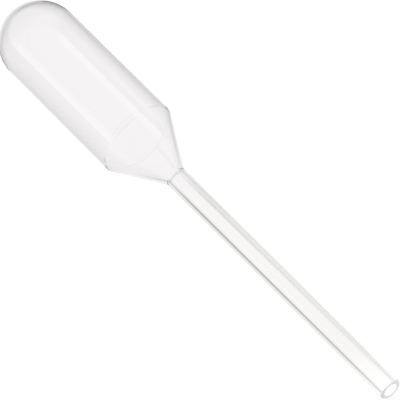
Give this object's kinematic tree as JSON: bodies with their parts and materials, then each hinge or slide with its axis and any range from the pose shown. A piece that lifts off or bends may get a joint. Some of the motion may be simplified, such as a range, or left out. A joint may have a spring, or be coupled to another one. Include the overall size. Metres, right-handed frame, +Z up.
{
  "type": "plastic dropper pipette",
  "caption": "Translucent plastic dropper pipette: a hollow squeeze bulb with a domed end narrows through a short cone to a long thin straight stem, open at its square tip.",
  "frame": {"origin": "on the surface it lies on, under the middle of its length and width", "axes": "+X along the pipette towards the open tip, +Z up; its own axis lies in the XZ plane and drops 4.5 degrees towards the tip, because it rests on the bulb's shoulder and the tip's edge"},
  "size_m": [0.1038, 0.015, 0.0171],
  "materials": {
    "plastic": "smooth, slightly waxy natural polyethylene, translucent"
  },
  "bodies": {
    "root": {"pipette": "plastic"}
  },
  "joints": []
}
